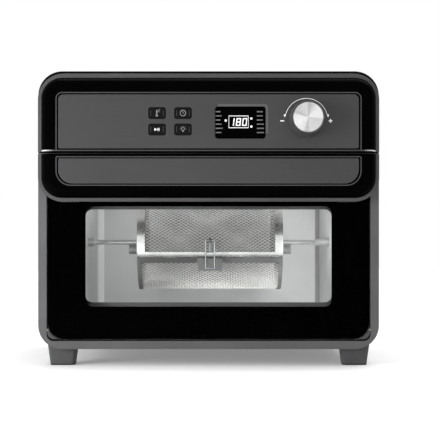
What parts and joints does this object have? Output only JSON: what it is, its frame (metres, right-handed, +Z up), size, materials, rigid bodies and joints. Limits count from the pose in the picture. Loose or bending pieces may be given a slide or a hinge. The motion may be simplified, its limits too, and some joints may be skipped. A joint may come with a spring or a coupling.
{
  "type": "oven-type air fryer",
  "caption": "Counter-top air fryer oven with a drop-down glass door, a control head with buttons, display and knob, and a turning mesh basket with a latched lid.",
  "frame": {"origin": "on the table, under the middle of the object's bounding box", "axes": "+X to the right as seen from the front, +Y towards the back, +Z up"},
  "size_m": [0.4, 0.393, 0.344],
  "materials": {
    "casing_paint": "satin powder coat",
    "frame_grey": "satin grey moulding",
    "black_plastic": "matt black moulding",
    "foot_plastic": "dark grey moulding",
    "satin_rim": "satin grey",
    "gloss_black": "high gloss",
    "trim_metal": "satin",
    "panel_brushed": "dark brushed",
    "display_glass": "gloss",
    "button_black": "semi gloss",
    "knob_dark": "satin",
    "knob_metal": "spun",
    "clear_glass": "polished",
    "door_inner_sheet": "dark enamel",
    "seal_rubber": "matt",
    "liner_steel": "galvanised satin",
    "basket_steel": "bright",
    "shaft_steel": "polished",
    "drive_plastic": "heat-proof",
    "bush_brass": "plain",
    "heater_metal": "heat-darkened",
    "fan_aluminium": "plain",
    "motor_case": "plain",
    "board_green": "solder resist",
    "lamp_ceramic": "ceramic white"
  },
  "bodies": {
    "housing": {"casing_wrap": "casing_paint", "base_plate": "casing_paint", "rear_panel": "casing_paint", "rear_spacers": "black_plastic", "cord_gland": "black_plastic", "casing_screws": "shaft_steel", "feet": "foot_plastic", "front_frame": "frame_grey", "hinge_bushes": "bush_brass", "head_housing": "black_plastic", "head_rim": "satin_rim", "head_fascia": "gloss_black", "panel_trim": "trim_metal", "control_panel": "panel_brushed", "display_window": "display_glass", "control_board": "board_green", "rotary_encoder": "motor_case", "cavity_liner": "liner_steel", "temperature_probe": "shaft_steel", "heater_coil": "heater_metal", "heater_dome": "liner_steel", "fan_guard": "liner_steel", "fan_motor": "motor_case", "motor_bracket": "liner_steel", "oven_lamp": "lamp_ceramic", "lamp_lens": "clear_glass", "door_switch": "lamp_ceramic", "power_board": "board_green", "gear_motor": "motor_case", "bearing_cup": "drive_plastic"},
    "door": {"door_frame": "frame_grey", "outer_glass": "clear_glass", "window_mask": "gloss_black", "inner_glass": "clear_glass", "inner_panel": "door_inner_sheet", "door_seal": "seal_rubber", "hinge_pins": "shaft_steel", "handle_shell": "satin_rim", "handle_fascia": "gloss_black", "handle_trim": "trim_metal", "handle_panel": "panel_brushed"},
    "knob": {"knob_skirt": "knob_dark", "knob_cap": "knob_metal", "encoder_shaft": "shaft_steel"},
    "basket": {"basket_trough": "basket_steel", "trough_rim": "basket_steel", "basket_ends": "basket_steel", "basket_shafts": "shaft_steel", "drive_socket": "drive_plastic", "lid_hinge_pin": "shaft_steel"},
    "lid": {"lid_mesh": "basket_steel", "lid_frame": "basket_steel"},
    "latch": {"latch_wire": "shaft_steel"},
    "fan": {"convection_fan": "fan_aluminium", "cooling_fan": "fan_aluminium", "fan_shaft": "shaft_steel"},
    "button_temperature": {"button_temperature": "button_black"},
    "button_time": {"button_time": "button_black"},
    "button_start": {"button_start": "button_black"},
    "button_light": {"button_light": "button_black"}
  },
  "joints": [
    {"name": "door_hinge", "type": "hinge", "parent": "housing", "child": "door", "pos_m": [0, -0.1393, 0.0418], "axis": [1, 0, 0], "range_deg": [0, 90]},
    {"name": "knob_turn", "type": "hinge", "parent": "housing", "child": "knob", "pos_m": [0.1126, -0.18, 0.286], "axis": [0, 1, 0], "continuous": true},
    {"name": "basket_spin", "type": "hinge", "parent": "housing", "child": "basket", "pos_m": [0.0018, 0.018, 0.1477], "axis": [1, 0, 0], "continuous": true},
    {"name": "lid_hinge", "type": "hinge", "parent": "basket", "child": "lid", "pos_m": [0.0018, 0.08072, 0.1278], "axis": [-1, 0, 0], "range_deg": [0, 27]},
    {"name": "latch_pivot", "type": "hinge", "parent": "lid", "child": "latch", "pos_m": [0.0018, -0.049, 0.1488], "axis": [-1, 0, 0], "range_deg": [0, 40]},
    {"name": "fan_spin", "type": "hinge", "parent": "housing", "child": "fan", "pos_m": [0, 0.018, 0.27], "axis": [0, 0, 1], "continuous": true},
    {"name": "button_temperature_press", "type": "slide", "parent": "housing", "child": "button_temperature", "axis": [0, 1, 0], "range_m": [0, 0.001], "stiffness_N_per_m": 600},
    {"name": "button_time_press", "type": "slide", "parent": "housing", "child": "button_time", "axis": [0, 1, 0], "range_m": [0, 0.001], "stiffness_N_per_m": 600},
    {"name": "button_start_press", "type": "slide", "parent": "housing", "child": "button_start", "axis": [0, 1, 0], "range_m": [0, 0.001], "stiffness_N_per_m": 600},
    {"name": "button_light_press", "type": "slide", "parent": "housing", "child": "button_light", "axis": [0, 1, 0], "range_m": [0, 0.001], "stiffness_N_per_m": 600}
  ]
}
